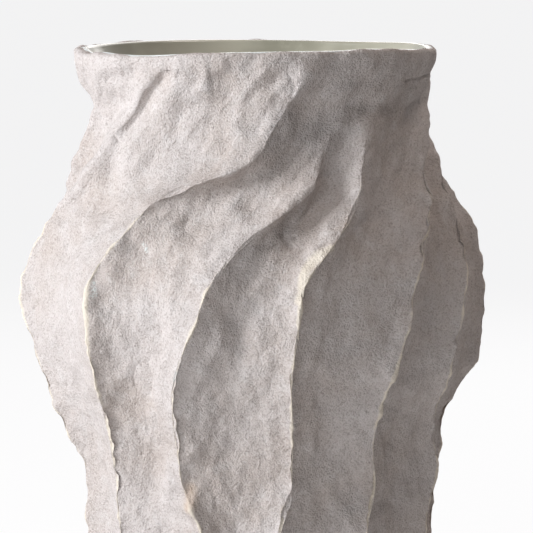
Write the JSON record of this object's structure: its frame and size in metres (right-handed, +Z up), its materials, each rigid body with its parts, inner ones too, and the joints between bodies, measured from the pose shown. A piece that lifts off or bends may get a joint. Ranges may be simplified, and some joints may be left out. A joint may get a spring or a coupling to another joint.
{
  "type": "urn vase",
  "caption": "Hand-built stoneware urn vase with tall swirling pinched ridges, a drawn-in neck, a flared rim and a glazed inside, for stems or as a floor or shelf piece",
  "frame": {"origin": "the middle of the standing face, on the vase's upright axis, at the level of the surface that it stands on", "axes": "+Z up along the vase's axis; the side that the picture shows faces -Y, with +X to the viewer's right"},
  "size_m": [0.2597, 0.2551, 0.352],
  "materials": {
    "bare_stoneware": "matte, unglazed, sandy",
    "inside_glaze": "glossy grey-green glaze"
  },
  "bodies": {
    "root": {"foot_ring": "bare_stoneware", "base_slab": "bare_stoneware", "foot_wall": "bare_stoneware", "waist_wall": "bare_stoneware", "hip_wall": "bare_stoneware", "belly_wall": "bare_stoneware", "shoulder_wall": "bare_stoneware", "collar_wall": "bare_stoneware", "rim_coil": "bare_stoneware", "glaze_lining": "inside_glaze", "ridge_01": "bare_stoneware", "ridge_02": "bare_stoneware", "ridge_03": "bare_stoneware", "ridge_04": "bare_stoneware", "ridge_05": "bare_stoneware", "ridge_06": "bare_stoneware", "ridge_07": "bare_stoneware", "ridge_08": "bare_stoneware", "ridge_09": "bare_stoneware", "ridge_10": "bare_stoneware", "ridge_11": "bare_stoneware", "ridge_12": "bare_stoneware", "ridge_13": "bare_stoneware"}
  },
  "joints": []
}
